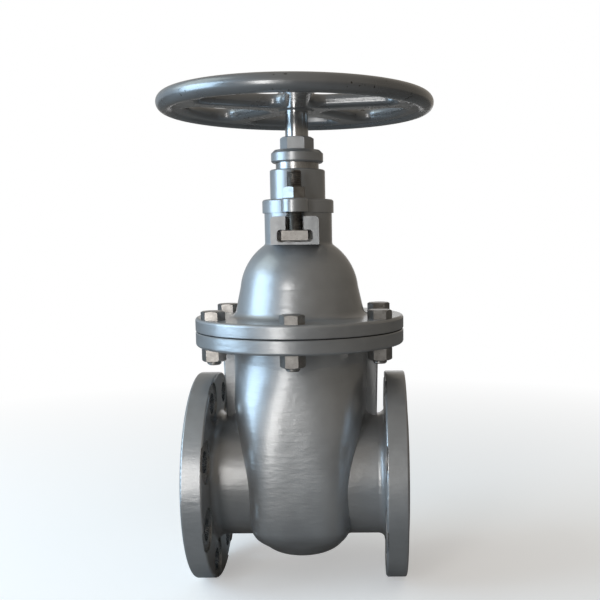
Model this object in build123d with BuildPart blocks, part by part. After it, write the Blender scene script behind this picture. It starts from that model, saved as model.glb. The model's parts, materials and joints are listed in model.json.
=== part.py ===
# Wedge gate valve, 100 mm bore, flanged, with a non-rising stem and a cast handwheel.
# The origin is the centre of the inlet flange's raised face. X runs along the pipe
# towards the outlet, Z runs up the stem, and the front of the valve faces -Y.
from build123d import *
from math import cos, radians, sin, sqrt, tan
import os

os.makedirs("parts", exist_ok=True)

# Pipe run and its two end flanges
face_to_face = 230.0
port_bore = 100.0
flange_diameter = 225.0
flange_thickness = 24.0
raised_face_diameter = 160.0
raised_face_height = 2.0
flange_bolt_circle = 185.0
flange_bolt_count = 8
flange_bolt_hole = 23.0
spot_face_diameter = 45.0
spot_face_depth = 1.5
neck_diameter = 132.0
neck_fillet = 8.0
flange_edge_radius = 2.0

# Level ovals through the barrel that holds the wedge: height above the pipe's axis,
# half length along the pipe and half width across it
barrel_ovals = (
    (100.0, 72.0, 72.5),
    (88.0, 71.7, 73.0),
    (76.0, 70.9, 73.5),
    (62.0, 68.3, 74.0),
    (48.0, 65.1, 74.0),
    (32.0, 62.0, 74.0),
    (16.0, 59.7, 74.0),
    (0.0, 58.1, 74.0),
    (-16.0, 57.0, 74.0),
    (-31.0, 56.2, 73.2),
    (-44.0, 55.2, 70.6),
    (-55.0, 53.4, 65.8),
    (-65.0, 50.4, 58.6),
    (-74.0, 45.7, 48.8),
    (-80.5, 39.5, 38.8),
    (-85.5, 30.5, 28.0),
    (-88.6, 17.0, 15.5),
)
barrel_wall = 9.0
barrel_fillet = 10.0

# Flanges between the body and the bonnet
bonnet_flange_radius = 112.0
body_flange_top = 161.0
body_flange_thickness = 15.0
body_flange_edge = 3.0
bonnet_flange_thickness = 14.0
bonnet_flange_edge = 3.0
joint_edge_chamfer = 0.8
gasket_thickness = 1.2
gasket_inset = 2.0
bonnet_opening_radius = 62.0
bonnet_bolt_circle = 198.0
bonnet_bolt_count = 6
bonnet_bolt_size = 14.0
bolt_hole_clearance = 2.0
bonnet_bolt_length = 46.5
bolt_head_flats = 22.0
bolt_head_height = 9.0
bonnet_nut_height = 12.5
bolt_end_chamfer = 1.2
hexagon_bevel_angle = 30.0
hexagon_bevel_overrun = 1.1

# Gussets under the body's top flange
rib_reach_top = 84.5
rib_reach_foot = 82.0
rib_thickness = 12.0
rib_edge_radius = 2.0

# Bonnet bell and neck
bell_foot_radius = 70.0
bell_foot_fillet = 8.0
bell_shoulder_radius = 63.2
bell_shoulder_rise = 31.0
bell_crown_radius = 54.3
bell_crown_rise = 57.0
bell_rise = 76.0
bell_wall = 9.0
bonnet_neck_radius = 36.0
bonnet_neck_length = 33.0
bonnet_neck_fillet = 4.0

# T-slots in pads at the front and back of the bonnet neck
pad_half_width = 24.7
pad_drop = 4.5
pad_corner_radius = 4.0
pad_reach = 50.0
slot_width = 18.5
slot_lip = 13.5
slot_height = 12.5
slot_wide = 36.5
slot_depth = 17.0
slot_corner_radius = 3.5

# Stem, its thrust collar and the bore that it turns in
stem_radius = 12.2
stem_running_clearance = 0.1
collar_radius = 19.0
collar_seat_depth = 17.0
collar_height = 8.0
collar_clearance = 0.3
stem_square = 17.0
stem_top_thread = 14.0
stem_end_chamfer = 1.5

# Stuffing box bolted on top of the bonnet neck
box_flange_radius = 38.0
box_flange_thickness = 14.0
box_flange_edge = 2.5
box_ear_radius = 14.0
box_sleeve_radius = 29.3
box_sleeve_length = 31.2
box_sleeve_edge = 2.0
box_spigot_radius = 22.8
box_spigot_length = 14.8
packing_radius = 19.0
packing_floor_drop = 7.0
packing_length = 42.0

# T-head bolts that hold the stuffing box down
gland_bolt_offset = 44.0
gland_bolt_size = 14.0
gland_bolt_spare = 17.0
gland_bolt_clearance = 1.5
gland_nut_flats = 21.0
gland_nut_height = 11.0
tee_length = 27.0
tee_clearance = 2.0
tee_depth = 14.0
tee_edge_chamfer = 1.0

# Packing nut over the spigot
packing_nut_radius = 27.6
packing_nut_gap = 7.2
packing_nut_skirt = 13.1
packing_nut_top_bevel = 3.5
packing_nut_foot_bevel = 1.5
packing_nut_flats = 31.0
packing_nut_hex_height = 13.7

# Handwheel
wheel_radius = 144.5
wheel_lift = 26.0
rim_radius = 9.0
rim_rise = 6.8
hub_radius = 21.0
hub_foot_radius = 18.0
hub_height = 19.8
hub_foot_rise = 3.0
hub_top_chamfer = 2.5
spoke_count = 5
first_spoke_angle = -84.0
spoke_half_width = 13.5
web_drop = 5.6
web_thickness = 14.4
spoke_edge_radius = 6.0
window_outer_radius = 115.0
window_corner_radius = 14.0
wheel_washer_radius = 14.0
wheel_washer_thickness = 3.0
wheel_nut_spare = 3.0

# Wedge, its faces and seats
wedge_angle = 5.0
wedge_half_thickness = 23.0
wedge_radius = 58.0
face_ring_height = 2.5
face_ring_inset = 2.0
seat_gap = 0.25
seat_outer_radius = 59.0
seat_length = 15.0
seat_boss_radius = 63.0
seat_boss_half_gap = 31.5
seat_boss_length = 29.0
wedge_bore_clearance = 1.5
wedge_bore_floor = -50.0
wedge_boss_radius = 23.0
wedge_boss_rise = 26.0
wedge_nut_rise = 2.0
wedge_nut_height = 18.0
wedge_nut_width = 32.0
wedge_nut_inset = 3.0
rail_half_width = 5.0
rail_inner = 56.0
rail_outer = 70.0
rail_bottom = -30.0
rail_headroom = 11.0
rail_clearance = 1.0
lug_half_width = 13.0
lug_height = 28.0
lug_reach = 60.0

# Sizes that follow from the ones above
stem_x = face_to_face / 2
port_radius = port_bore / 2
flange_radius = flange_diameter / 2
neck_radius = neck_diameter / 2
bolt_hole_radius = (bonnet_bolt_size + bolt_hole_clearance) / 2
stem_bore_radius = stem_radius + stem_running_clearance
body_flange_bottom = body_flange_top - body_flange_thickness
bonnet_flange_bottom = body_flange_top + gasket_thickness
bonnet_flange_top = bonnet_flange_bottom + bonnet_flange_thickness
bell_top = bonnet_flange_top + bell_rise
bonnet_neck_top = bell_top + bonnet_neck_length
slot_ledge = bonnet_neck_top - pad_drop - slot_lip
slot_floor = slot_ledge - slot_height
collar_seat = bonnet_neck_top - collar_seat_depth
collar_bottom = collar_seat + collar_clearance
box_flange_top = bonnet_neck_top + box_flange_thickness
box_sleeve_top = box_flange_top + box_sleeve_length
box_spigot_top = box_sleeve_top + box_spigot_length
packing_floor = box_flange_top - packing_floor_drop
packing_nut_bottom = box_sleeve_top + packing_nut_gap
packing_nut_shoulder = packing_nut_bottom + packing_nut_skirt
packing_nut_top = packing_nut_shoulder + packing_nut_hex_height
hub_bottom = packing_nut_top + wheel_lift
hub_top = hub_bottom + hub_height
rim_height = hub_bottom + rim_rise
web_foot = rim_height - web_drop
wedge_nut_bottom = wedge_radius + wedge_nut_rise
stem_foot = wedge_nut_bottom

stem_axis = Axis((stem_x, 0, 0), (0, 0, 1))
stem_cross = Plane(origin=(stem_x, 0, 0), x_dir=(0, 1, 0), z_dir=(1, 0, 0))
stem_section = Plane(origin=(stem_x, 0, 0), x_dir=(1, 0, 0), z_dir=(0, -1, 0))


def level(height):
    """The level plane at a height, centred on the stem."""
    return Plane(origin=(stem_x, 0, height))


def barrel_form(wall):
    """The barrel's outer form, or its cavity when a wall is taken off all round."""
    top_height, top_length, top_width = barrel_ovals[0]
    foot_height = barrel_ovals[-1][0]
    narrowing = 1 - wall / top_length
    with BuildPart() as form:
        for height, half_length, half_width in barrel_ovals:
            rise = height * (1 + wall / foot_height) if height < 0 else height
            with BuildSketch(level(rise)):
                Ellipse(half_length * narrowing, half_width * narrowing)
        loft()
        with BuildSketch(level(top_height)):
            Ellipse(top_length * narrowing, top_width * narrowing)
        extrude(amount=body_flange_bottom - top_height)
    return form.part


def ring_at(height, outer, inner, length):
    """A plain ring on the stem's axis."""
    with BuildPart() as ring:
        with BuildSketch(level(height)):
            Circle(outer)
            Circle(inner, mode=Mode.SUBTRACT)
        extrude(amount=length)
    return ring.part


def hexagon_on(base, flats, height, turn=0.0):
    """A hexagon standing on a plane, its far corners turned off as on a nut or bolt head."""
    corner_radius = flats / sqrt(3)
    bevel = (corner_radius - flats / 2) * hexagon_bevel_overrun
    with BuildPart() as block:
        with BuildSketch(base):
            Circle(corner_radius)
        extrude(amount=height)
        far_edge = edges().sort_by_distance(base.origin)[-1]
        chamfer(far_edge, bevel * tan(radians(hexagon_bevel_angle)), bevel)
        with BuildSketch(base):
            RegularPolygon(flats / 2, 6, major_radius=False, rotation=turn)
        extrude(amount=height, mode=Mode.INTERSECT)
    return block.part


def seat_plane(side, distance):
    """A plane parallel to one wedge face, a distance out from it: side is -1 or 1."""
    slope = radians(wedge_angle)
    normal = Vector(side * cos(slope), 0, -sin(slope))
    origin = Vector(stem_x + side * wedge_half_thickness, 0, 0) + normal * distance
    return Plane(origin=origin, x_dir=(0, 1, 0), z_dir=normal)


with BuildPart() as body_casting:
    add(barrel_form(0))
    # The pipe run, with a rolled corner where it meets the barrel
    with BuildSketch(Plane.YZ.offset(raised_face_height)):
        Circle(neck_radius)
    extrude(amount=face_to_face - 2 * raised_face_height)
    meeting = edges(Select.NEW).filter_by(GeomType.CIRCLE, reverse=True)
    fillet(meeting, barrel_fillet)
    # The end flanges, turned about the pipe's axis
    for face_x, inward in ((0, 1), (face_to_face, -1)):
        with BuildSketch(Plane(origin=(face_x, 0, 0), x_dir=(inward, 0, 0), z_dir=(0, -inward, 0))):
            with BuildLine():
                Polyline(
                    (0, 0),
                    (0, raised_face_diameter / 2),
                    (raised_face_height, raised_face_diameter / 2),
                    (raised_face_height, flange_radius),
                    (flange_thickness, flange_radius),
                    (flange_thickness, neck_radius),
                    (flange_thickness + neck_fillet, neck_radius),
                    (flange_thickness + neck_fillet, 0),
                    close=True,
                )
            make_face()
            fillet(vertices().sort_by_distance((flange_thickness, neck_radius))[0], neck_fillet)
            fillet(vertices().group_by(Axis.Y)[-1], flange_edge_radius)
        revolve(axis=Axis.X)
    # The round flange that carries the bonnet
    with BuildSketch(level(body_flange_bottom)):
        Circle(bonnet_flange_radius)
    extrude(amount=body_flange_thickness)
    rounds = edges().filter_by(GeomType.CIRCLE)
    flange_rims = rounds.filter_by(lambda rim: rim.radius == bonnet_flange_radius)
    fillet(flange_rims.sort_by(Axis.Z)[0], body_flange_edge)
    chamfer(flange_rims.sort_by(Axis.Z)[-1], joint_edge_chamfer)
    # Gussets from the top flange down to the pipe run
    with BuildPart(mode=Mode.PRIVATE) as gusset:
        with BuildSketch(stem_section):
            with BuildLine():
                Polyline(
                    (0, body_flange_bottom),
                    (rib_reach_top, body_flange_bottom),
                    (rib_reach_foot, port_radius),
                    (0, port_radius),
                    close=True,
                )
            make_face()
        extrude(amount=rib_thickness / 2, both=True)
        fillet(faces().sort_by(Axis.X)[-1].edges().filter_by(Axis.Y, reverse=True), rib_edge_radius)
    add(gusset.part)
    add(gusset.part.rotate(stem_axis, 180))
    # The cavity, open at the top for the wedge
    add(barrel_form(barrel_wall), mode=Mode.SUBTRACT)
    with BuildSketch(level(barrel_ovals[0][0])):
        Circle(bonnet_opening_radius)
    extrude(amount=body_flange_top - barrel_ovals[0][0], mode=Mode.SUBTRACT)
    # Bosses that hold the seat rings
    for side in (-1, 1):
        with BuildSketch(Plane.YZ.offset(stem_x + side * seat_boss_half_gap)):
            Circle(seat_boss_radius)
        extrude(amount=side * seat_boss_length)
    # Guide rails for the wedge
    with BuildSketch(level(rail_bottom)):
        for side in (-1, 1):
            with Locations((0, side * (rail_inner + rail_outer) / 2)):
                Rectangle(2 * rail_half_width, rail_outer - rail_inner)
    extrude(amount=body_flange_top - rail_headroom - rail_bottom)
    # The port and the pockets for the seat rings
    with BuildSketch(Plane.YZ):
        Circle(port_radius)
    extrude(amount=face_to_face, mode=Mode.SUBTRACT)
    for side in (-1, 1):
        with BuildSketch(seat_plane(side, seat_gap)):
            Circle(seat_outer_radius)
        extrude(amount=seat_length, mode=Mode.SUBTRACT)
    # Bolt holes in the end flanges, straddling the centre lines, spot faced at the back
    for face_x, inward in ((0, 1), (face_to_face, -1)):
        with BuildSketch(Plane.YZ.offset(face_x)):
            with PolarLocations(flange_bolt_circle / 2, flange_bolt_count, 180 / flange_bolt_count):
                Circle(flange_bolt_hole / 2)
        extrude(amount=inward * flange_thickness, mode=Mode.SUBTRACT)
        with BuildSketch(Plane.YZ.offset(face_x + inward * (flange_thickness - spot_face_depth))):
            with PolarLocations(flange_bolt_circle / 2, flange_bolt_count, 180 / flange_bolt_count):
                Circle(spot_face_diameter / 2)
        extrude(amount=inward * (neck_fillet + spot_face_depth), mode=Mode.SUBTRACT)
    # Bolt holes for the bonnet
    with BuildSketch(level(body_flange_bottom)):
        with PolarLocations(bonnet_bolt_circle / 2, bonnet_bolt_count, 90):
            Circle(bolt_hole_radius)
    extrude(amount=body_flange_thickness, mode=Mode.SUBTRACT)

body_casting.part.label = "body_casting"
export_step(body_casting.part, "parts/body_casting.step")

# Seat rings pressed into the body, with faces that match the wedge
for side, name in ((-1, "seat_ring_inlet"), (1, "seat_ring_outlet")):
    with BuildPart() as seat_ring:
        with BuildSketch(seat_plane(side, seat_gap)):
            Circle(seat_outer_radius)
            Circle(port_radius, mode=Mode.SUBTRACT)
        extrude(amount=seat_length)
    seat_ring.part.label = name
    export_step(seat_ring.part, f"parts/{name}.step")

with BuildPart() as bonnet_gasket:
    with BuildSketch(level(body_flange_top)):
        Circle(bonnet_flange_radius - gasket_inset)
        Circle(bonnet_opening_radius, mode=Mode.SUBTRACT)
        with PolarLocations(bonnet_bolt_circle / 2, bonnet_bolt_count, 90):
            Circle(bolt_hole_radius, mode=Mode.SUBTRACT)
    extrude(amount=gasket_thickness)

bonnet_gasket.part.label = "bonnet_gasket"
export_step(bonnet_gasket.part, "parts/bonnet_gasket.step")

with BuildPart() as bonnet:
    # Flange, bell and neck turned about the stem
    shoulder_height = bonnet_flange_top + bell_shoulder_rise
    crown_height = bonnet_flange_top + bell_crown_rise
    with BuildSketch(stem_section):
        with BuildLine():
            Polyline(
                (0, bell_top),
                (0, bonnet_flange_bottom),
                (bonnet_flange_radius, bonnet_flange_bottom),
                (bonnet_flange_radius, bonnet_flange_top),
                (bell_foot_radius, bonnet_flange_top),
                (bell_shoulder_radius, shoulder_height),
            )
            ThreePointArc(
                (bell_shoulder_radius, shoulder_height),
                (bell_crown_radius, crown_height),
                (bonnet_neck_radius, bell_top),
            )
            Polyline((bonnet_neck_radius, bell_top), (bonnet_neck_radius, bonnet_neck_top))
            Polyline((bonnet_neck_radius, bonnet_neck_top), (0, bonnet_neck_top), (0, bell_top))
        make_face()
        bell_foot = (bell_foot_radius, bonnet_flange_top)
        flange_edge = (bonnet_flange_radius, bonnet_flange_top)
        joint_edge = (bonnet_flange_radius, bonnet_flange_bottom)
        neck_foot = (bonnet_neck_radius, bell_top)
        fillet(vertices().sort_by_distance(bell_foot)[0], bell_foot_fillet)
        fillet(vertices().sort_by_distance(flange_edge)[0], bonnet_flange_edge)
        fillet(vertices().sort_by_distance(neck_foot)[0], bonnet_neck_fillet)
        chamfer(vertices().sort_by_distance(joint_edge)[0], joint_edge_chamfer)
    revolve(axis=stem_axis)
    # Pads at the front and back of the neck, with T-slots for the gland bolts
    with BuildSketch(stem_section):
        with BuildLine():
            Polyline(
                (-pad_half_width, bell_top),
                (pad_half_width, bell_top),
                (pad_half_width, bonnet_neck_top - pad_drop),
                (-pad_half_width, bonnet_neck_top - pad_drop),
                close=True,
            )
        make_face()
        fillet(vertices().group_by(Axis.Y)[-1], pad_corner_radius)
    extrude(amount=pad_reach, both=True)
    # The hollow that takes the raised wedge
    hollow_top = bell_top - bell_wall
    with BuildSketch(stem_section):
        with BuildLine():
            Polyline(
                (0, hollow_top),
                (0, bonnet_flange_bottom),
                (bonnet_opening_radius, bonnet_flange_bottom),
                (bell_shoulder_radius - bell_wall, shoulder_height),
            )
            ThreePointArc(
                (bell_shoulder_radius - bell_wall, shoulder_height),
                (bell_crown_radius - bell_wall, crown_height - bell_wall / 2),
                (collar_radius, hollow_top),
            )
            Line((collar_radius, hollow_top), (0, hollow_top))
        make_face()
    revolve(axis=stem_axis, mode=Mode.SUBTRACT)
    # The stem's bore and the seat of its thrust collar
    with BuildSketch(level(hollow_top)):
        Circle(stem_bore_radius)
    extrude(amount=bonnet_neck_top - hollow_top, mode=Mode.SUBTRACT)
    with BuildSketch(level(collar_seat)):
        Circle(collar_radius + collar_clearance)
    extrude(amount=collar_seat_depth, mode=Mode.SUBTRACT)
    # T-slots, narrow at the pad's top and wide below
    for side in (-1, 1):
        slot_back = (stem_x, side * (pad_reach - slot_depth), 0)
        with BuildSketch(Plane(origin=slot_back, x_dir=(1, 0, 0), z_dir=(0, -1, 0))):
            with Locations((0, (slot_ledge + bonnet_neck_top) / 2)):
                Rectangle(slot_width, bonnet_neck_top - slot_ledge)
            with Locations((0, slot_ledge - slot_height / 2)):
                RectangleRounded(slot_wide, slot_height, slot_corner_radius)
        extrude(amount=-side * slot_depth, mode=Mode.SUBTRACT)
    with BuildSketch(level(bonnet_flange_bottom)):
        with PolarLocations(bonnet_bolt_circle / 2, bonnet_bolt_count, 90):
            Circle(bolt_hole_radius)
    extrude(amount=bonnet_flange_thickness, mode=Mode.SUBTRACT)

bonnet.part.label = "bonnet"
export_step(bonnet.part, "parts/bonnet.step")

# Bonnet bolts from above, nuts below
for index in range(bonnet_bolt_count):
    angle = radians(90 + index * 360 / bonnet_bolt_count)
    bolt_x = stem_x + bonnet_bolt_circle / 2 * cos(angle)
    bolt_y = bonnet_bolt_circle / 2 * sin(angle)
    with BuildPart() as bonnet_bolt:
        bolt_seat = Plane(origin=(bolt_x, bolt_y, bonnet_flange_top))
        add(hexagon_on(bolt_seat, bolt_head_flats, bolt_head_height))
        with BuildSketch(bolt_seat):
            Circle(bonnet_bolt_size / 2)
        extrude(amount=-bonnet_bolt_length)
        chamfer(edges().group_by(Axis.Z)[0], bolt_end_chamfer)
    bonnet_bolt.part.label = f"bonnet_bolt_{index + 1}"
    export_step(bonnet_bolt.part, f"parts/bonnet_bolt_{index + 1}.step")
    under_flange = Plane(origin=(bolt_x, bolt_y, body_flange_bottom), x_dir=(1, 0, 0), z_dir=(0, 0, -1))
    with BuildPart() as bonnet_nut:
        add(hexagon_on(under_flange, bolt_head_flats, bonnet_nut_height))
        with BuildSketch(under_flange):
            Circle(bonnet_bolt_size / 2)
        extrude(amount=bonnet_nut_height, mode=Mode.SUBTRACT)
    bonnet_nut.part.label = f"bonnet_nut_{index + 1}"
    export_step(bonnet_nut.part, f"parts/bonnet_nut_{index + 1}.step")

with BuildPart() as stuffing_box:
    # A round flange with ears at the front and back for the gland bolts
    with BuildSketch(level(bonnet_neck_top)):
        Circle(box_flange_radius)
        with Locations((0, gland_bolt_offset), (0, -gland_bolt_offset)):
            Circle(box_ear_radius)
        Rectangle(2 * box_ear_radius, 2 * gland_bolt_offset)
    extrude(amount=box_flange_thickness)
    fillet(faces().group_by(Axis.Z)[-1].edges(), box_flange_edge)
    with BuildSketch(level(box_flange_top)):
        Circle(box_sleeve_radius)
    extrude(amount=box_sleeve_length)
    fillet(edges().group_by(Axis.Z)[-1], box_sleeve_edge)
    with BuildSketch(level(box_sleeve_top)):
        Circle(box_spigot_radius)
    extrude(amount=box_spigot_length)
    # The spigot that holds the thrust collar down
    with BuildSketch(level(collar_bottom + collar_height + collar_clearance)):
        Circle(collar_radius)
    extrude(until=Until.NEXT)
    with BuildSketch(level(collar_bottom)):
        Circle(stem_bore_radius)
    extrude(amount=box_spigot_top - collar_bottom, mode=Mode.SUBTRACT)
    # The chamber for the packing
    with BuildSketch(level(packing_floor)):
        Circle(packing_radius)
    extrude(amount=box_spigot_top - packing_floor, mode=Mode.SUBTRACT)
    with BuildSketch(level(bonnet_neck_top)):
        with Locations((0, gland_bolt_offset), (0, -gland_bolt_offset)):
            Circle((gland_bolt_size + gland_bolt_clearance) / 2)
    extrude(amount=box_flange_thickness, mode=Mode.SUBTRACT)

stuffing_box.part.label = "stuffing_box"
export_step(stuffing_box.part, "parts/stuffing_box.step")

stem_packing = ring_at(packing_floor, packing_radius, stem_bore_radius, packing_length)
stem_packing.label = "stem_packing"
export_step(stem_packing, "parts/stem_packing.step")

with BuildPart() as packing_nut:
    with BuildSketch(level(packing_nut_bottom)):
        Circle(packing_nut_radius)
    extrude(amount=packing_nut_skirt)
    chamfer(edges().group_by(Axis.Z)[-1], packing_nut_top_bevel)
    chamfer(edges().group_by(Axis.Z)[0], packing_nut_foot_bevel)
    add(hexagon_on(level(packing_nut_shoulder), packing_nut_flats, packing_nut_hex_height))
    with BuildSketch(level(packing_nut_bottom)):
        Circle(box_spigot_radius)
    extrude(amount=box_spigot_top - packing_nut_bottom, mode=Mode.SUBTRACT)
    with BuildSketch(level(packing_nut_bottom)):
        Circle(stem_bore_radius)
    extrude(amount=packing_nut_top - packing_nut_bottom, mode=Mode.SUBTRACT)

packing_nut.part.label = "packing_nut"
export_step(packing_nut.part, "parts/packing_nut.step")

# T-head bolts and nuts that hold the stuffing box down
for side, name in ((-1, "front"), (1, "back")):
    bolt_y = side * gland_bolt_offset
    with BuildPart() as gland_bolt:
        with BuildSketch(Plane(origin=(stem_x, bolt_y, slot_ledge))):
            Rectangle(tee_length, tee_depth)
        extrude(amount=tee_clearance - slot_height)
        chamfer(edges().group_by(Axis.Z)[-1], tee_edge_chamfer)
        with BuildSketch(Plane(origin=(stem_x, bolt_y, slot_ledge - tee_edge_chamfer))):
            Circle(gland_bolt_size / 2)
        extrude(amount=box_flange_top + gland_nut_height + gland_bolt_spare - slot_ledge + tee_edge_chamfer)
        chamfer(edges().group_by(Axis.Z)[-1], bolt_end_chamfer)
    gland_bolt.part.label = f"gland_bolt_{name}"
    export_step(gland_bolt.part, f"parts/gland_bolt_{name}.step")
    with BuildPart() as gland_nut:
        nut_seat = Plane(origin=(stem_x, bolt_y, box_flange_top))
        add(hexagon_on(nut_seat, gland_nut_flats, gland_nut_height, 30))
        with BuildSketch(nut_seat):
            Circle(gland_bolt_size / 2)
        extrude(amount=gland_nut_height, mode=Mode.SUBTRACT)
    gland_nut.part.label = f"gland_nut_{name}"
    export_step(gland_nut.part, f"parts/gland_nut_{name}.step")

with BuildPart() as stem:
    with BuildSketch(level(stem_foot)):
        Circle(stem_radius)
    extrude(amount=hub_bottom - stem_foot)
    chamfer(edges().group_by(Axis.Z)[0], stem_end_chamfer)
    with BuildSketch(level(collar_bottom)):
        Circle(collar_radius)
    extrude(amount=collar_height)
    with BuildSketch(level(hub_bottom)):
        Rectangle(stem_square, stem_square)
    extrude(amount=hub_height)
    with BuildSketch(level(hub_top)):
        Circle(stem_top_thread / 2)
    extrude(amount=wheel_washer_thickness + gland_nut_height + wheel_nut_spare)
    chamfer(edges().group_by(Axis.Z)[-1], bolt_end_chamfer)

stem.part.label = "stem"
export_step(stem.part, "parts/stem.step")

with BuildPart() as handwheel:
    # A flat web out to the rim's middle, with windows that leave five spokes
    rim_centre = wheel_radius - rim_radius
    with BuildSketch(level(web_foot)):
        Circle(rim_centre)
    extrude(amount=web_thickness)
    with BuildSketch(level(web_foot)):
        Circle(window_outer_radius)
        with PolarLocations(rim_centre / 2, spoke_count, first_spoke_angle):
            Rectangle(rim_centre, 2 * spoke_half_width, mode=Mode.SUBTRACT)
        fillet(vertices(), window_corner_radius)
    extrude(amount=web_thickness, mode=Mode.SUBTRACT)
    window_edges = edges(Select.LAST).filter_by(Axis.Z, reverse=True)
    fillet(window_edges, spoke_edge_radius)
    # Hub and rim turned about the stem
    with BuildSketch(stem_section):
        with BuildLine():
            Polyline(
                (0, hub_bottom),
                (hub_foot_radius, hub_bottom),
                (hub_radius, hub_bottom + hub_foot_rise),
                (hub_radius, hub_top - hub_top_chamfer),
                (hub_radius - hub_top_chamfer, hub_top),
                (0, hub_top),
                close=True,
            )
        make_face()
        with Locations((rim_centre, rim_height)):
            Circle(rim_radius)
    revolve(axis=stem_axis)
    with BuildSketch(level(hub_bottom)):
        Rectangle(stem_square, stem_square)
    extrude(amount=hub_height, mode=Mode.SUBTRACT)

handwheel.part.label = "handwheel"
export_step(handwheel.part, "parts/handwheel.step")

wheel_washer = ring_at(hub_top, wheel_washer_radius, stem_top_thread / 2, wheel_washer_thickness)
wheel_washer.label = "wheel_washer"
export_step(wheel_washer, "parts/wheel_washer.step")

with BuildPart() as wheel_nut:
    add(hexagon_on(level(hub_top + wheel_washer_thickness), gland_nut_flats, gland_nut_height))
    with BuildSketch(level(hub_top + wheel_washer_thickness)):
        Circle(stem_top_thread / 2)
    extrude(amount=gland_nut_height, mode=Mode.SUBTRACT)

wheel_nut.part.label = "wheel_nut"
export_step(wheel_nut.part, "parts/wheel_nut.step")

with BuildPart() as wedge:
    # A slab that widens upwards, trimmed to a round disc
    slope = tan(radians(wedge_angle))
    core_half_thickness = wedge_half_thickness - face_ring_height / cos(radians(wedge_angle))
    low = core_half_thickness - wedge_radius * slope
    high = core_half_thickness + wedge_radius * slope
    with BuildSketch(stem_section):
        with BuildLine():
            Polyline(
                (-low, -wedge_radius),
                (low, -wedge_radius),
                (high, wedge_radius),
                (-high, wedge_radius),
                close=True,
            )
        make_face()
    extrude(amount=wedge_radius, both=True)
    with BuildSketch(stem_cross):
        Circle(wedge_radius)
    extrude(amount=wedge_radius, both=True, mode=Mode.INTERSECT)
    # Lugs with grooves for the guide rails
    with BuildSketch(level(-lug_height)):
        Rectangle(2 * lug_half_width, 2 * lug_reach)
    extrude(amount=2 * lug_height)
    # The boss that carries the stem nut
    with BuildSketch(level(wedge_radius / 2)):
        Circle(wedge_boss_radius)
    extrude(amount=wedge_radius / 2 + wedge_boss_rise)
    groove_inner = rail_inner - rail_clearance
    with BuildSketch(level(-wedge_radius)):
        with Locations((0, (groove_inner + lug_reach) / 2), (0, -(groove_inner + lug_reach) / 2)):
            Rectangle(2 * (rail_half_width + rail_clearance), lug_reach - groove_inner)
    extrude(amount=2 * wedge_radius, mode=Mode.SUBTRACT)
    with BuildSketch(level(wedge_nut_bottom)):
        Rectangle(2 * wedge_boss_radius, wedge_nut_width)
    extrude(amount=wedge_nut_height, mode=Mode.SUBTRACT)
    with BuildSketch(level(wedge_bore_floor)):
        Circle(stem_radius + wedge_bore_clearance)
    extrude(amount=wedge_radius + wedge_boss_rise - wedge_bore_floor, mode=Mode.SUBTRACT)

wedge.part.label = "wedge"
export_step(wedge.part, "parts/wedge.step")

# Seating rings let into the wedge's two faces
for side, name in ((-1, "wedge_face_inlet"), (1, "wedge_face_outlet")):
    with BuildPart() as wedge_face:
        with BuildSketch(seat_plane(side, -face_ring_height)):
            Circle(seat_outer_radius - face_ring_inset)
            Circle(port_radius - face_ring_inset, mode=Mode.SUBTRACT)
        extrude(amount=face_ring_height)
    wedge_face.part.label = name
    export_step(wedge_face.part, f"parts/{name}.step")

with BuildPart() as wedge_nut:
    with BuildSketch(level(wedge_nut_bottom)):
        Rectangle(2 * (wedge_boss_radius - wedge_nut_inset), wedge_nut_width)
        Circle(stem_bore_radius, mode=Mode.SUBTRACT)
    extrude(amount=wedge_nut_height)

wedge_nut.part.label = "wedge_nut"
export_step(wedge_nut.part, "parts/wedge_nut.step")
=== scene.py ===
# %% [markdown]
# A cast steel gate valve is dressed here. Its castings, bolts and handwheel come from the
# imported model, so this script gives them paint, bare metal and screw threads, and fills out
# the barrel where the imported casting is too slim. It goes from the rough to the fine:
# camera, recipes, finishes, threads, barrel, floor and lamps.

# %% Load the fixed frame
import json
from math import cos, radians, sin

import bpy
import numpy as np
from mathutils import Matrix, Vector


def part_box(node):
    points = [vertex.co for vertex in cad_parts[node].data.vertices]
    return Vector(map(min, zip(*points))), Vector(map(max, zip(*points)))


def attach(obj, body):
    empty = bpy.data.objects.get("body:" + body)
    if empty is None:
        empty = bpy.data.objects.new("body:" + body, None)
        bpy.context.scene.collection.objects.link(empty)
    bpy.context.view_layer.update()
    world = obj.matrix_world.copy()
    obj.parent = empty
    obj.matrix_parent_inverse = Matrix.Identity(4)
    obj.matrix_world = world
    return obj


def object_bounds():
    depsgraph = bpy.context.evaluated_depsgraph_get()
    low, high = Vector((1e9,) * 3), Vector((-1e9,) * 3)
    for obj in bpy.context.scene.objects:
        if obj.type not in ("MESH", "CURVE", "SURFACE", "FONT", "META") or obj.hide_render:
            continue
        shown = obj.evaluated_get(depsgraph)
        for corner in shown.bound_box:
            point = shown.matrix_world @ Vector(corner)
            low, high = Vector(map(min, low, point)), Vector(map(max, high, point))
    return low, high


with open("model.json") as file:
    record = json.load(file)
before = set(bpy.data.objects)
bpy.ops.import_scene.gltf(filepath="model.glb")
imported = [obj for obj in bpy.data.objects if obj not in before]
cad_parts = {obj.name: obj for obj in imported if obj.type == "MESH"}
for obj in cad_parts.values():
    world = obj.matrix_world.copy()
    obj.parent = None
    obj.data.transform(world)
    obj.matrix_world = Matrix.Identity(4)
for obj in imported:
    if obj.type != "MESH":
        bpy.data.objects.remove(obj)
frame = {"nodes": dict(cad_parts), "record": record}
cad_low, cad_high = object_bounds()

print("nodes", len(frame["nodes"]), "box", list(cad_low), list(cad_high))

# %% [markdown]
# The camera stands a little right of the valve, level with the bonnet and looking down
# slightly, so the handwheel is seen from below and the end flanges from inside. Its place
# was solved from the outlines of the flanges and the wheel. A shift could be avoided by
# turning the camera to the valve, but then upright edges would lean, so the shift is kept.

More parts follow.
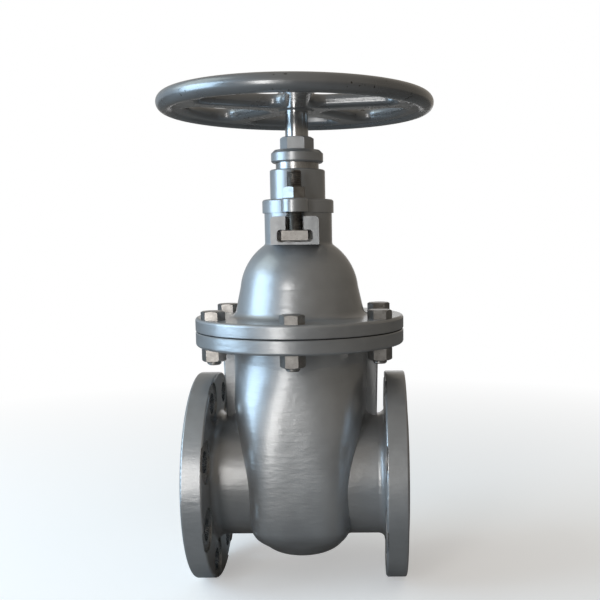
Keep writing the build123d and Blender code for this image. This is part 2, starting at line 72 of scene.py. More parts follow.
# %% Camera
CAMERA_PLACE = Vector((0.188993, -0.906622, 0.258798))
YAW, PITCH, ROLL = radians(-0.5798), radians(-7.2881), radians(-0.5750)


def camera_matrix(place, yaw, pitch, roll):
    """Forward from yaw and pitch, right and up turned by roll, set as the camera's axes."""
    forward = Vector((sin(yaw) * cos(pitch), cos(yaw) * cos(pitch), sin(pitch)))
    level_right = Vector((cos(yaw), -sin(yaw), 0))
    level_up = level_right.cross(forward)
    right = cos(roll) * level_right + sin(roll) * level_up
    up = -sin(roll) * level_right + cos(roll) * level_up
    turn = Matrix((right, up, -forward)).transposed().to_4x4()
    return Matrix.Translation(place) @ turn


camera_data = bpy.data.cameras.new("camera")
camera_data.sensor_width = 36.0
camera_data.lens = 50.27
camera_data.shift_x = -0.1002
camera_data.shift_y = 0.0742
camera = bpy.data.objects.new("camera", camera_data)
camera.matrix_world = camera_matrix(CAMERA_PLACE, YAW, PITCH, ROLL)
bpy.context.scene.collection.objects.link(camera)
bpy.context.scene.camera = camera
bpy.context.scene.view_settings.view_transform = "Standard"
print("camera", [round(v, 3) for v in camera.location])

# %% [markdown]
# A node group is a recipe that several finishes share. These helpers keep each recipe
# short: one adds a node and wires it up in a single line, one starts a group with named
# sockets, and small ones do the sums that masks need.

# %% Node helpers


def add_node(tree, kind, links=None, **settings):
    """A node of a kind, with its settings, and its inputs set to sockets or values."""
    node = tree.nodes.new(kind)
    for name, value in settings.items():
        setattr(node, name, value)
    for name, value in (links or {}).items():
        socket = node.inputs[name]
        if isinstance(value, bpy.types.NodeSocket):
            tree.links.new(value, socket)
        else:
            socket.default_value = value
    return node


def new_group(name, inputs, outputs):
    """A shader group: inputs are (name, kind, value), outputs are (name, kind)."""
    tree = bpy.data.node_groups.new(name, "ShaderNodeTree")
    for title, kind, value in inputs:
        socket = tree.interface.new_socket(title, in_out="INPUT", socket_type=kind)
        if value is not None:
            socket.default_value = value
    for title, kind in outputs:
        tree.interface.new_socket(title, in_out="OUTPUT", socket_type=kind)
    group_inputs = tree.nodes.new("NodeGroupInput").outputs
    return tree, group_inputs, tree.nodes.new("NodeGroupOutput").inputs


def place_group(tree, group, **sockets):
    """A group's outputs, once its inputs are set; an underscore stands for a space."""
    links = {name.replace("_", " "): value for name, value in sockets.items()}
    return add_node(tree, "ShaderNodeGroup", links, node_tree=group).outputs


def calc(tree, operation, first, second=0.0, clamp=False):
    """One sum on two values."""
    node = add_node(tree, "ShaderNodeMath", {0: first, 1: second}, operation=operation)
    node.use_clamp = clamp
    return node.outputs[0]


def noise(tree, place, scale, detail=2.0, roughness=0.5):
    """Noise from 0 to 1, mostly near a half."""
    links = {"Vector": place, "Scale": scale, "Detail": detail, "Roughness": roughness}
    return add_node(tree, "ShaderNodeTexNoise", links).outputs["Fac"]


def stretched(tree, place, scale):
    """The place with its axes scaled, so that a pattern is longer one way."""
    return add_node(tree, "ShaderNodeMapping", {"Vector": place, "Scale": scale}).outputs[0]


def ramp(tree, value, low, high, first=0.0, last=1.0):
    """A value stretched so that low becomes first and high becomes last."""
    links = {"Value": value, "From Min": low, "From Max": high, "To Min": first, "To Max": last}
    return add_node(tree, "ShaderNodeMapRange", links).outputs["Result"]


def mix_colour(tree, factor, first, second):
    """Two colours mixed by a factor."""
    node = tree.nodes.new("ShaderNodeMix")
    node.data_type = "RGBA"
    for index, value in ((0, factor), (6, first), (7, second)):
        if isinstance(value, bpy.types.NodeSocket):
            tree.links.new(value, node.inputs[index])
        else:
            node.inputs[index].default_value = value
    return node.outputs[2]


def grey(level, warmth=0.0):
    """A grey as red, green, blue and alpha; warmth adds red and takes blue."""
    return (level * (1 + warmth), level, level * (1 - warmth), 1)


FLOAT, VECTOR = "NodeSocketFloat", "NodeSocketVector"

# %% [markdown]
# Sand casting leaves fine grains from the mould, slow waves from the pattern, and level
# ripples where the metal rose in the mould. Displacement would need millions of faces, so
# the group gives one height for bump, and the waves once more to drift the colour.

# %% Cast skin group
skin_tree, skin_in, skin_out = new_group(
    "cast_skin",
    [("Place", VECTOR, None), ("Grain", FLOAT, 0.3), ("Wave", FLOAT, 0.5), ("Ripple", FLOAT, 0.3)],
    [("Height", FLOAT), ("Drift", FLOAT)],
)
grain = noise(skin_tree, skin_in["Place"], 750.0, 3.0, 0.6)
wave = noise(skin_tree, skin_in["Place"], 75.0, 3.0)
ripple = noise(skin_tree, stretched(skin_tree, skin_in["Place"], (60, 60, 210)), 1.0, 2.0)
grain_part = calc(skin_tree, "MULTIPLY", grain, skin_in["Grain"])
wave_part = calc(skin_tree, "MULTIPLY", wave, skin_in["Wave"])
ripple_part = calc(skin_tree, "MULTIPLY", ripple, skin_in["Ripple"])
skin_height = calc(skin_tree, "ADD", calc(skin_tree, "ADD", grain_part, wave_part), ripple_part)
skin_tree.links.new(skin_height, skin_out["Height"])
skin_tree.links.new(noise(skin_tree, skin_in["Place"], 24.0, 4.0), skin_out["Drift"])
print("group", skin_tree.name, len(skin_tree.nodes), "nodes")

# %% [markdown]
# Knocks take small flakes out of the paint, and they come in clusters where the valve was
# handled. A painted mask would need an image, so the group takes the peaks of a fine noise
# and lets them through only inside the patches of a broad one.

# %% Chips group
FLAKE_LEVEL, FLAKE_REACH, FLAKE_EDGE = 0.80, 0.18, 40.0
chip_tree, chip_in, chip_out = new_group(
    "paint_chips",
    [("Place", VECTOR, None), ("Size", FLOAT, 260.0), ("Amount", FLOAT, 0.5)],
    [("Mask", FLOAT)],
)
flake = noise(chip_tree, chip_in["Place"], chip_in["Size"], 2.0, 0.6)
patch = noise(chip_tree, chip_in["Place"], 26.0, 1.0)
near = calc(chip_tree, "MULTIPLY", ramp(chip_tree, patch, 0.52, 0.62), chip_in["Amount"])
level_needed = calc(chip_tree, "SUBTRACT", FLAKE_LEVEL, calc(chip_tree, "MULTIPLY", near, FLAKE_REACH))
over = calc(chip_tree, "SUBTRACT", flake, level_needed)
flaked = calc(chip_tree, "MULTIPLY", over, FLAKE_EDGE, clamp=True)
chip_tree.links.new(flaked, chip_out["Mask"])
print("group", chip_tree.name, len(chip_tree.nodes), "nodes")

# %% [markdown]
# Bare metal is never even: a tool or a file leaves fine lines, and handling leaves broad
# cloudy patches. The group gives both as masks; a finish decides how strong they are and
# which way the lines run.

# %% Bare metal group
metal_tree, metal_in, metal_out = new_group(
    "bare_metal",
    [("Place", VECTOR, None), ("Line scale", FLOAT, 900.0), ("Cloud scale", FLOAT, 120.0)],
    [("Lines", FLOAT), ("Clouds", FLOAT)],
)
lines = noise(metal_tree, metal_in["Place"], metal_in["Line scale"], 3.0, 0.7)
clouds = noise(metal_tree, metal_in["Place"], metal_in["Cloud scale"], 3.0, 0.55)
metal_tree.links.new(ramp(metal_tree, lines, 0.3, 0.7), metal_out["Lines"])
metal_tree.links.new(ramp(metal_tree, clouds, 0.35, 0.65), metal_out["Clouds"])
print("group", metal_tree.name, len(metal_tree.nodes), "nodes")

# %% [markdown]
# Every finish starts from the same bench: a Principled BSDF with the piece's Object
# coordinates. All pieces sit at the origin, so these are places in the room and a pattern
# runs on from one piece to the next without a seam.

# %% Start a finish


def start_finish(name):
    """A new material, its node tree, its shader and its Object coordinates."""
    material = bpy.data.materials.new(name)
    material.use_nodes = True
    tree = material.node_tree
    tree.nodes.clear()
    output = tree.nodes.new("ShaderNodeOutputMaterial")
    shader = tree.nodes.new("ShaderNodeBsdfPrincipled")
    tree.links.new(shader.outputs[0], output.inputs[0])
    place = tree.nodes.new("ShaderNodeTexCoord").outputs["Object"]
    return material, tree, shader, place


def add_bump(tree, shader, height, strength, distance=0.0005):
    """The surface's normal tilted by a height in the range 0 to 1."""
    links = {"Strength": strength, "Distance": distance, "Height": height}
    bump = add_node(tree, "ShaderNodeBump", links)
    tree.links.new(bump.outputs[0], shader.inputs["Normal"])


# %% [markdown]
# Some faces of the castings are machined after painting. Where they are follows from the
# drawing alone, so each mask is a sum on the Object coordinates: a flat raised face is
# within a radius of the pipe's axis and outside a plane, and a spot face is a disc round
# each of eight bolt holes, which a folded angle finds with a single distance.

# %% Machined places
STEM_X = 0.115
RAISED_FACE_RADIUS = 0.0802
BOLT_CIRCLE_RADIUS = 0.0925
HOLE_RADIUS = 0.0122
SPOT_RADIUS = 0.0226
HOLE_STEP, HOLE_TURN = radians(45), radians(22.5)
FLANGE_BACK = 0.0225
RAISED_FROM = 0.0019
BACK_DEPTH = 0.0004
HOLE_REACH = 0.026
NUT_TO_SLEEVE = 0.0072


def pipe_terms(tree, place):
    """How far a point is along the pipe, from its axis, and from the nearest bolt hole."""
    parts = add_node(tree, "ShaderNodeSeparateXYZ", {0: place}).outputs
    across, up = parts["Y"], parts["Z"]
    across_square = calc(tree, "MULTIPLY", across, across)
    squares = calc(tree, "ADD", across_square, calc(tree, "MULTIPLY", up, up))
    radial = calc(tree, "SQRT", squares)
    angle = calc(tree, "ARCTAN2", up, across)
    folded = calc(tree, "SUBTRACT", calc(tree, "FLOORED_MODULO", angle, HOLE_STEP), HOLE_TURN)
    leg = calc(tree, "MULTIPLY", calc(tree, "COSINE", folded), 2 * BOLT_CIRCLE_RADIUS)
    rest = calc(tree, "SUBTRACT", squares, calc(tree, "MULTIPLY", leg, radial))
    hole_distance = calc(tree, "SQRT", calc(tree, "ADD", rest, BOLT_CIRCLE_RADIUS**2))
    from_middle = calc(tree, "ABSOLUTE", calc(tree, "SUBTRACT", parts["X"], STEM_X))
    return from_middle, radial, hole_distance


def both(tree, first, second):
    """1 where both masks are 1."""
    return calc(tree, "MULTIPLY", first, second)


def either(tree, first, second):
    """1 where one of the masks is 1."""
    return calc(tree, "MAXIMUM", first, second)


def machined_body(tree, place):
    """The raised faces, the spot faces behind the flanges and the bolt holes."""
    from_middle, radial, hole_distance = pipe_terms(tree, place)
    outside = calc(tree, "GREATER_THAN", from_middle, STEM_X - RAISED_FROM)
    raised = both(tree, outside, calc(tree, "LESS_THAN", radial, RAISED_FACE_RADIUS))
    off_back = calc(tree, "ABSOLUTE", calc(tree, "SUBTRACT", from_middle, STEM_X - FLANGE_BACK))
    level_back = calc(tree, "LESS_THAN", off_back, BACK_DEPTH)
    spot = both(tree, level_back, calc(tree, "LESS_THAN", hole_distance, SPOT_RADIUS))
    in_flange = calc(tree, "GREATER_THAN", from_middle, STEM_X - HOLE_REACH)
    hole = both(tree, in_flange, calc(tree, "LESS_THAN", hole_distance, HOLE_RADIUS))
    return either(tree, raised, either(tree, spot, hole))


def machined_box(tree, place):
    """The bright spigot of the stuffing box, above its sleeve."""
    sleeve_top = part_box("packing_nut")[0][2] - NUT_TO_SLEEVE
    up = add_node(tree, "ShaderNodeSeparateXYZ", {0: place}).outputs["Z"]
    return calc(tree, "GREATER_THAN", up, sleeve_top + 0.0001)


def machined_nowhere(tree, place):
    """No machined place."""
    return 0.0


# %% [markdown]
# The body, bonnet and stuffing box are sprayed in a satin grey with metal flake over the
# rough casting; the handwheel is darker and glossier. The flake is a share of Metallic, and
# a clear coat draws the sharp highlights. One function makes them all: paint and bare steel
# are two sets of values for the same shader, and the machined mask or a chip picks between
# them at each point. Two shaders mixed would do the same, but cost more and bake worse.

# %% Painted casting
COAT_ROUGH = 0.20
MACHINED_DARK, MACHINED_LIGHT = grey(0.30, 0.02), grey(0.42, 0.01)
BODY_GREY = (0.360, 0.365, 0.372, 1)
WHEEL_GREY = (0.215, 0.218, 0.223, 1)
PRIMER = (0.05, 0.045, 0.04, 1)
BODY_SKIN = (0.14, 0.70, 0.75)
BOX_SKIN = (0.06, 0.3, 0.1)
WHEEL_SKIN = (0.04, 0.35, 0.0)
WEDGE_SKIN = (0.2, 0.5, 0.2)
FEW_CHIPS, FINE_CHIPS, WHEEL_CHIPS, NO_CHIPS = (230.0, 0.15), (260.0, 0.15), (170.0, 0.8), (230.0, 0.0)


def shaded(colour, factor):
    """A colour made darker or lighter."""
    return [value * factor for value in colour[:3]] + [1]


def cast_paint(name, base, flake, coat, rough, skin, bump, chips, machined=machined_nowhere):
    """Paint over a casting, with bare steel where the machined mask is 1."""
    material, tree, shader, place = start_finish(name)
    cast = place_group(tree, skin_tree, Place=place, Grain=skin[0], Wave=skin[1], Ripple=skin[2])
    drift = ramp(tree, cast["Drift"], 0.35, 0.65)
    paint = mix_colour(tree, drift, shaded(base, 0.92), shaded(base, 1.08))
    chip = place_group(tree, chip_tree, Place=place, Size=chips[0], Amount=chips[1])["Mask"]
    worn = mix_colour(tree, chip, paint, PRIMER)
    steel = place_group(tree, metal_tree, Place=place)
    steel_colour = mix_colour(tree, steel["Clouds"], MACHINED_DARK, MACHINED_LIGHT)
    bare = machined(tree, place)
    tree.links.new(mix_colour(tree, bare, worn, steel_colour), shader.inputs["Base Color"])
    drift_rough = ramp(tree, drift, 0, 1, rough * 0.9, rough * 1.1)
    paint_rough = calc(tree, "ADD", drift_rough, calc(tree, "MULTIPLY", chip, 0.2))
    steel_rough = ramp(tree, steel["Lines"], 0, 1, 0.22, 0.34)
    rough_mix = add_node(tree, "ShaderNodeMix", {0: bare, 2: paint_rough, 3: steel_rough})
    tree.links.new(rough_mix.outputs[0], shader.inputs["Roughness"])
    shader.inputs["Coat Weight"].default_value = coat
    shader.inputs["Coat Roughness"].default_value = COAT_ROUGH
    if machined is machined_nowhere:
        shader.inputs["Metallic"].default_value = flake
    else:
        tree.links.new(either(tree, bare, flake), shader.inputs["Metallic"])
    smoothed = calc(tree, "MULTIPLY", cast["Height"], calc(tree, "SUBTRACT", 1.0, bare))
    sunk = calc(tree, "SUBTRACT", smoothed, calc(tree, "MULTIPLY", chip, 0.25))
    add_bump(tree, shader, sunk, bump)
    return material


body_paint = cast_paint("body_paint", BODY_GREY, 0.6, 0.6, 0.38, BODY_SKIN, 0.8, FEW_CHIPS, machined_body)
grey_paint = cast_paint("grey_paint", BODY_GREY, 0.6, 0.6, 0.38, BODY_SKIN, 0.7, FEW_CHIPS)
box_paint = cast_paint("box_paint", BODY_GREY, 0.6, 0.6, 0.36, BOX_SKIN, 0.5, FINE_CHIPS, machined_box)
wheel_paint = cast_paint("wheel_paint", WHEEL_GREY, 0.6, 1.0, 0.28, WHEEL_SKIN, 0.5, WHEEL_CHIPS)
wedge_iron = cast_paint("wedge_iron", grey(0.06), 0.0, 0.0, 0.6, WEDGE_SKIN, 0.8, NO_CHIPS)
print("painted finishes made")

# %% [markdown]
# The bolts are forged and turned steel, a little dull and warm; the stem is ground and
# polished with faint lines along it; seats and bushes are turned. All are one metal with
# other colours, roughness and line directions.

# %% Bare metals


def bare_metal(name, dark, light, rough, direction=(1, 1, 1), line_scale=900.0, bump=0.05):
    """Metal whose colour follows cloudy patches and whose roughness follows fine lines."""
    material, tree, shader, place = start_finish(name)
    along = stretched(tree, place, direction)
    steel = place_group(tree, metal_tree, Place=along, Line_scale=line_scale)
    tree.links.new(mix_colour(tree, steel["Clouds"], dark, light), shader.inputs["Base Color"])
    line_rough = ramp(tree, steel["Lines"], 0, 1, rough * 0.75, rough * 1.3)
    tree.links.new(line_rough, shader.inputs["Roughness"])
    shader.inputs["Metallic"].default_value = 1.0
    add_bump(tree, shader, steel["Lines"], bump, 0.0002)
    return material


bolt_steel = bare_metal("bolt_steel", grey(0.26, 0.05), grey(0.38, 0.04), 0.34)
thread_steel = bare_metal("thread_steel", grey(0.10, 0.12), grey(0.20, 0.10), 0.38)
stem_steel = bare_metal("polished_steel", grey(0.42), grey(0.52), 0.16, (1, 1, 0.04), 1400.0)
seat_steel = bare_metal("seat_steel", grey(0.45), grey(0.56), 0.25)
bronze = bare_metal("bronze", (0.42, 0.28, 0.11, 1), (0.55, 0.38, 0.16, 1), 0.3)

# %% [markdown]
# The gasket is pressed fibre and the packing is a braid soaked in graphite. Both are seen
# only as a dark line, so a soft dark skin with a little weave in its height is enough.

# %% Soft dark finishes


def dark_fibre(name, base, rough, weave):
    """A dark fibre: crossed bands of a wave give a faint weave."""
    material, tree, shader, place = start_finish(name)
    first = add_node(tree, "ShaderNodeTexWave", {"Vector": place, "Scale": weave}, bands_direction="X")
    second = add_node(tree, "ShaderNodeTexWave", {"Vector": place, "Scale": weave}, bands_direction="Y")
    cross = calc(tree, "MULTIPLY", first.outputs["Fac"], second.outputs["Fac"])
    fibre = mix_colour(tree, cross, grey(base * 0.8), grey(base * 1.3))
    tree.links.new(fibre, shader.inputs["Base Color"])
    tree.links.new(ramp(tree, cross, 0, 1, rough * 0.9, rough), shader.inputs["Roughness"])
    add_bump(tree, shader, cross, 0.4)
    return material


gasket_fibre = dark_fibre("gasket_fibre", 0.016, 0.8, 300.0)
packing_braid = dark_fibre("packing_braid", 0.028, 0.7, 220.0)

# %% [markdown]
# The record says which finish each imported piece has. Only two castings need a finish of
# their own, because parts of them are machined.

# %% Put the finishes on
BY_SLOT = {
    "grey_paint": grey_paint, "wheel_paint": wheel_paint, "bolt_steel": bolt_steel,
    "polished_steel": stem_steel, "seat_steel": seat_steel, "wedge_iron": wedge_iron,
    "bronze": bronze, "gasket": gasket_fibre, "packing": packing_braid,
}
BY_NODE = {"body_casting": body_paint, "stuffing_box": box_paint}
node_slots = {row["node"]: row["material_slot"] for row in frame["record"]["subparts"]}
for node_name, node_object in frame["nodes"].items():
    node_object.data.materials.clear()
    node_object.data.materials.append(BY_NODE.get(node_name, BY_SLOT[node_slots[node_name]]))
print("finishes on", len(node_slots), "nodes")

# %% [markdown]
# A screw thread is what a plain shank lacks most. A bump would leave its outline straight,
# so each thread is a thin sleeve of real faces round the shank: the radius at a turn and a
# height is a triangle wave that climbs one pitch in a full turn.

# %% Thread sleeves
TURN_STEPS = 48
STEPS_PER_PITCH = 8


def thread_points(centre, low, high, shank, depth, pitch):
    """Radius = shank + depth times a triangle wave of height over pitch less turn, faded
    to the shank at both ends; the first and last rings are inside the shank."""
    rows = int((high - low) / pitch * STEPS_PER_PITCH) + 2
    height = np.linspace(low, high, rows)[:, None]
    turn = np.linspace(0, 2 * np.pi, TURN_STEPS, endpoint=False)[None, :]
    phase = (height / pitch - turn / (2 * np.pi)) % 1.0
    wave = 1 - np.abs(2 * phase - 1)
    fade = np.clip(np.minimum(height - low, high - height) / (0.6 * pitch), 0, 1)
    radius = shank + depth * wave * fade
    inner = np.full((1, TURN_STEPS), shank * 0.9)
    radius = np.concatenate([inner, radius, inner])
    height = np.concatenate([height[:1], height, height[-1:]]) * np.ones_like(turn)
    across, forward = radius * np.cos(turn), radius * np.sin(turn)
    return np.stack([centre[0] + across, centre[1] + forward, height], -1)


def ring_grid_faces(rows, columns, first):
    """Squares of a grid that joins up both ways round, counted from a first point."""
    index = first + np.arange(rows * columns).reshape(rows, columns)
    right = np.roll(index, -1, 1)
    return np.stack([index, right, np.roll(right, -1, 0), np.roll(index, -1, 0)], -1).reshape(-1, 4)


def add_piece(name, points, faces, body, finish, smooth=False):
    """An object from points and faces at their own place, riding on a body."""
    mesh = bpy.data.meshes.new(name)
    mesh.from_pydata(points.tolist(), [], faces.tolist())
    mesh.polygons.foreach_set("use_smooth", np.full(len(faces), smooth))
    mesh.materials.append(finish)
    piece = bpy.data.objects.new(name, mesh)
    bpy.context.scene.collection.objects.link(piece)
    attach(piece, body)
    print(name, len(mesh.polygons), "faces")


def thread_piece(name, grids, body, finish):
    """One object from several sleeves, riding on a body."""
    points, faces, first = [], [], 0
    for grid in grids:
        points.append(grid.reshape(-1, 3))
        faces.append(ring_grid_faces(grid.shape[0], grid.shape[1], first))
        first += points[-1].shape[0]
    add_piece(name, np.concatenate(points), np.concatenate(faces), body, finish)


def middle(node):
    """The middle of a node's box, seen from above."""
    low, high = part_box(node)
    return (low[0] + high[0]) / 2, (low[1] + high[1]) / 2


# %% [markdown]
# The gland bolts are threaded from the T-head up, and show it in the slot and above the
# nut. The bonnet bolts show a few turns below their nuts, and the stem a few above the
# wheel nut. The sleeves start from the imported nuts' boxes, so they follow any change there.

# %% Threads on bolts and stem
COARSE_PITCH = 0.002
THREAD_DEPTH = 0.0006
SHANK = 0.00702
EAR_THICKNESS = 0.014
TEE_HEIGHT = 0.0095
OVERLAP = 0.001
END_BEVEL, STEM_BEVEL = 0.0012, 0.0014


def sleeve(centre, low, high):
    """A thread sleeve of the one size that all these screws share."""
    return thread_points(centre, low, high, SHANK, THREAD_DEPTH, COARSE_PITCH)


gland_grids = []
for side in ("front", "back"):
    nut_low, nut_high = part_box(f"gland_nut_{side}")
    bolt_low, bolt_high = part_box(f"gland_bolt_{side}")
    ear_foot = nut_low[2] - EAR_THICKNESS
    place = middle(f"gland_nut_{side}")
    gland_grids.append(sleeve(place, nut_high[2] - OVERLAP, bolt_high[2] - END_BEVEL))
    gland_grids.append(sleeve(place, bolt_low[2] + TEE_HEIGHT, ear_foot + OVERLAP))
thread_piece("gland_bolt_threads", gland_grids, "valve_body", thread_steel)

bonnet_grids = []
for number in range(1, 7):
    nut_low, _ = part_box(f"bonnet_nut_{number}")
    bolt_low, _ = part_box(f"bonnet_bolt_{number}")
    place = middle(f"bonnet_nut_{number}")
    bonnet_grids.append(sleeve(place, bolt_low[2] + OVERLAP, nut_low[2] + OVERLAP))
thread_piece("bonnet_bolt_threads", bonnet_grids, "valve_body", bolt_steel)

stem_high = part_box("stem")[1][2]
nut_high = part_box("wheel_nut")[1][2]
stem_grid = sleeve(middle("wheel_nut"), nut_high - OVERLAP, stem_high - STEM_BEVEL)
thread_piece("stem_top_thread", [stem_grid], "handwheel_and_stem", stem_steel)

# %% [markdown]
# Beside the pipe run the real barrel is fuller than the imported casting's ovals, so its front
# meets the run in a wide bowl-shaped line. Changing the solid is the better cure; here a
# shell over the front and one over the back stand in for it. Each grows out of the casting's
# wall, bulges at its corners, and goes back into the wall at its edges, clear of the bores.

# %% Full sides of the barrel
BARREL_HEIGHTS = np.array([
    -88.6, -85.5, -80.5, -74, -65, -55, -44, -31, -16, 0, 16, 32, 48, 62, 76, 88, 100, 146]) / 1000
BARREL_LENGTHS = np.array([
    17.0, 30.5, 39.5, 45.7, 50.4, 53.4, 55.2, 56.2, 57.0,
    58.1, 59.7, 62.0, 65.1, 68.3, 70.9, 71.7, 72.0, 72.0]) / 1000
BARREL_WIDTHS = np.array([
    15.5, 28.0, 38.8, 48.8, 58.6, 65.8, 70.6, 73.2, 74.0,
    74.0, 74.0, 74.0, 74.0, 74.0, 73.5, 73.0, 72.5, 72.5]) / 1000
SHELL_LEVELS, SHELL_COLUMNS = 180, 97
SHELL_BULGE, SHELL_CORNER = 0.0080, 2.3
SHELL_SUNK, SHELL_THICK = 0.0004, 0.005
RUN_BURIED = 0.060
SHELL_LOW, SHELL_HIGH = -0.080, 0.142
FULL_FROM, FULL_TOP = -0.045, 0.0
FULL_END = 0.138
TABLE_SPREAD = 0.006


def smooth_step(value, low, high):
    """0 below low, 1 above high, and a soft S between them."""
    part = np.clip((value - low) / (high - low), 0, 1)
    return part * part * (3 - 2 * part)


def through(heights, table):
    """The table's straight lines, averaged over a short span round each height."""
    spread = np.linspace(-TABLE_SPREAD, TABLE_SPREAD, 13)[:, None]
    return np.interp(heights[None, :] + spread, BARREL_HEIGHTS, table).mean(0)


def shell_points(side):
    """At each height x = a |cos t|^(2/n) and y = b sin(t)^(2/n), signed; a, b and n grow from
    the casting's oval to a fuller one beside the run, and t stops inside the run's wall."""
    height = np.linspace(SHELL_LOW, SHELL_HIGH, SHELL_LEVELS)
    full = smooth_step(height, SHELL_LOW, FULL_FROM) * (1 - smooth_step(height, FULL_TOP, FULL_END))
    long = (through(height, BARREL_LENGTHS) - SHELL_SUNK)[:, None]
    cast_wide = through(height, BARREL_WIDTHS)[:, None]
    wide = cast_wide + (full * (SHELL_BULGE + SHELL_SUNK) - SHELL_SUNK)[:, None]
    power = 2 / (2 + SHELL_CORNER * full)[:, None]
    edge = np.sqrt(np.clip(RUN_BURIED**2 - height**2, 1e-8, None))[:, None]
    start = np.arcsin(np.clip((edge / wide) ** (1 / power), 0, 1))
    turn = start + np.linspace(0, 1, SHELL_COLUMNS)[None, :] * (np.pi - 2 * start)
    along = np.sign(np.cos(turn)) * np.abs(np.cos(turn)) ** power
    across = side * np.sin(turn) ** power
    up = height[:, None] * np.ones_like(turn)
    outer = np.stack([STEM_X + long * along, wide * across, up], -1)
    inner_long, inner_wide = long - SHELL_THICK, cast_wide - SHELL_THICK
    inner = np.stack([STEM_X + inner_long * along, inner_wide * across, up], -1)
    return np.concatenate([outer, inner[:, ::-1]], 1)


def shell_faces(points):
    """Squares round each level, then squares that close the lowest and highest level."""
    rows, columns = points.shape[:2]
    index = np.arange(rows * columns).reshape(rows, columns)
    right = np.roll(index, -1, 1)
    sides = np.stack([index[:-1], right[:-1], right[1:], index[1:]], -1).reshape(-1, 4)
    half = columns // 2
    out, back = index[:, :half], index[:, half:][:, ::-1]
    low = np.stack([out[0, 1:], out[0, :-1], back[0, :-1], back[0, 1:]], -1)
    high = np.stack([out[-1, :-1], out[-1, 1:], back[-1, 1:], back[-1, :-1]], -1)
    return np.concatenate([sides, low, high])


for side, side_name in ((-1, "front"), (1, "back")):
    grid = shell_points(side)
    faces = shell_faces(grid)
    points = grid.reshape(-1, 3)
    first, second, third = (points[faces[:, k]] - points.mean(0) for k in (0, 1, 2))
    # The sum is the shell's volume, and negative where its faces point inwards
    if np.einsum("ij,ij->i", first, np.cross(second, third)).sum() < 0:
        faces = faces[:, ::-1]
    add_piece(f"barrel_side_{side_name}", points, faces, "valve_body", body_paint, True)

# %% [markdown]
# The valve stands on its two end flanges on a plain pale floor. To the camera the floor
# and the sky are white, as behind a product picture, but they must not throw more light on
# the valve. So the floor adds its own glow for camera rays alone, and keeps the shadow that
# the lamps make under the valve. Far away it turns plain white and meets the white sky.

# %% Floor
FLOOR_HEIGHT = cad_low[2] - 0.0005
FLOOR_HALF = 8.0
SHADOW_NEAR, SHADOW_FAR = 0.35, 1.3
FLOOR_GLOW = 0.35

floor_mesh = bpy.data.meshes.new("floor")
corners = np.array([(-1, -1), (1, -1), (1, 1), (-1, 1)]) * FLOOR_HALF
floor_mesh.from_pydata([(x, y, FLOOR_HEIGHT) for x, y in corners], [], [(0, 1, 2, 3)])
floor = bpy.data.objects.new("floor", floor_mesh)
bpy.context.scene.collection.objects.link(floor)
floor_material, floor_tree, floor_shader, floor_place = start_finish("floor")
floor_shader.inputs["Base Color"].default_value = (0.25, 0.25, 0.25, 1)
floor_shader.inputs["Roughness"].default_value = 0.9
path = floor_tree.nodes.new("ShaderNodeLightPath")
pale = add_node(floor_tree, "ShaderNodeBsdfDiffuse", {"Color": (0.85, 0.85, 0.85, 1)})
glow = add_node(floor_tree, "ShaderNodeEmission", {"Color": (1, 1, 1, 1), "Strength": FLOOR_GLOW})
lit_floor = add_node(floor_tree, "ShaderNodeAddShader", {0: pale.outputs[0], 1: glow.outputs[0]})
white = add_node(floor_tree, "ShaderNodeEmission", {"Color": (1, 1, 1, 1), "Strength": 1.0})
centred = add_node(floor_tree, "ShaderNodeMapping", {"Vector": floor_place, "Location": (-STEM_X, 0, 0)})
length = add_node(floor_tree, "ShaderNodeVectorMath", {0: centred.outputs[0]}, operation="LENGTH")
away = length.outputs["Value"]
far = ramp(floor_tree, away, SHADOW_NEAR, SHADOW_FAR)
seen = add_node(floor_tree, "ShaderNodeMixShader", {0: far, 1: lit_floor.outputs[0], 2: white.outputs[0]})
floor_mix = add_node(floor_tree, "ShaderNodeMixShader", {
    0: path.outputs["Is Camera Ray"], 1: floor_shader.outputs[0], 2: seen.outputs[0]})
floor_tree.links.new(floor_mix.outputs[0], floor_tree.nodes["Material Output"].inputs[0])
floor_mesh.materials.append(floor_material)
print("floor at", round(FLOOR_HEIGHT, 4))

# %% [markdown]
# A workshop with a wide window on the left lights the valve, so the sky is a soft dome,
# bluer on the left and dim and warm on the right. The camera sees it white all round. Metal
# shows that white only close behind the valve, because an all-white dome would leave it flat.

# %% Sky
SKY_BASE = (0.34, 0.31, 0.27, 1)
SKY_LEFT = (0.36, 0.42, 0.48, 1)
SKY_RIGHT = (0.22, 0.20, 0.17, 1)
WHITE_FROM, WHITE_TO = 0.95, 0.99

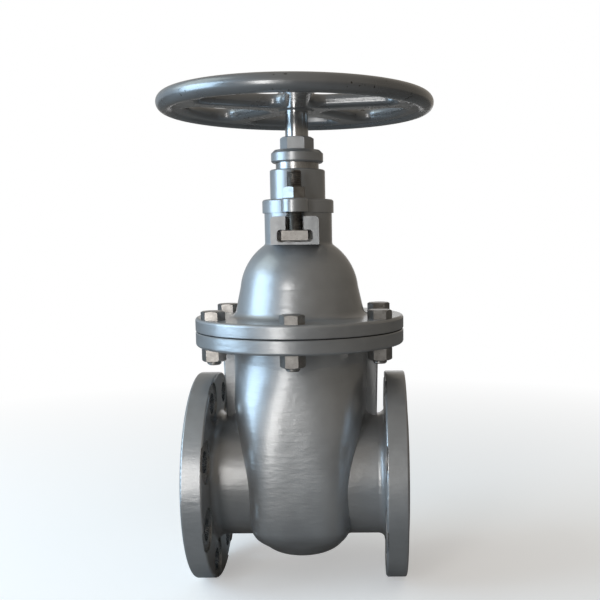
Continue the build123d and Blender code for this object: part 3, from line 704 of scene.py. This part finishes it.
world = bpy.data.worlds.new("sky")
bpy.context.scene.world = world
world.use_nodes = True
sky_tree = world.node_tree
sky_tree.nodes.clear()
direction = sky_tree.nodes.new("ShaderNodeTexCoord").outputs["Generated"]
axes = add_node(sky_tree, "ShaderNodeSeparateXYZ", {0: direction}).outputs
across, behind = axes["X"], axes["Y"]
dome = mix_colour(sky_tree, ramp(sky_tree, across, -0.15, -0.85), SKY_BASE, SKY_LEFT)
dome = mix_colour(sky_tree, ramp(sky_tree, across, 0.15, 0.8), dome, SKY_RIGHT)
plain_sky = add_node(sky_tree, "ShaderNodeBackground", {"Color": dome, "Strength": 1.0})
white_sky = add_node(sky_tree, "ShaderNodeBackground", {"Color": (1, 1, 1, 1), "Strength": 1.0})
sky_path = sky_tree.nodes.new("ShaderNodeLightPath").outputs
mirrored = either(sky_tree, sky_path["Is Glossy Ray"], sky_path["Is Transmission Ray"])
mirrored = both(sky_tree, mirrored, ramp(sky_tree, behind, WHITE_FROM, WHITE_TO))
show_white = either(sky_tree, sky_path["Is Camera Ray"], mirrored)
sky_mix = add_node(sky_tree, "ShaderNodeMixShader", {
    0: show_white, 1: plain_sky.outputs[0], 2: white_sky.outputs[0]})
sky_output = sky_tree.nodes.new("ShaderNodeOutputWorld")
sky_tree.links.new(sky_mix.outputs[0], sky_output.inputs[0])

# %% [markdown]
# Three soft lamps stand for the wide window on the left, a higher one beside it, and a tall
# narrow panel left of the camera, which draws the highlight down each round form.

# %% Lamps
TARGET = (0.115, 0.0, 0.15)
LAMPS = (
    ("left_window", (-1.7, -0.5, 0.55), 1.3, 1.3, 30.0, (0.55, 0.78, 1.0)),
    ("high_window", (-1.3, 0.0, 1.4), 1.2, 1.2, 5.5, (0.87, 1.0, 0.97)),
    ("front_panel", (-0.33, -1.25, 0.27), 0.26, 0.76, 4.8, (1.0, 0.98, 0.95)),
)
for lamp_name, lamp_place, width, tall, power, colour in LAMPS:
    lamp_data = bpy.data.lights.new(lamp_name, "AREA")
    lamp_data.shape = "RECTANGLE"
    lamp_data.size = width
    lamp_data.size_y = tall
    lamp_data.energy = power
    lamp_data.color = colour
    lamp = bpy.data.objects.new(lamp_name, lamp_data)
    facing = (Vector(TARGET) - Vector(lamp_place)).to_track_quat("-Z", "Y").to_matrix().to_4x4()
    lamp.matrix_world = Matrix.Translation(Vector(lamp_place)) @ facing
    bpy.context.scene.collection.objects.link(lamp)
print("lamps", len(LAMPS))
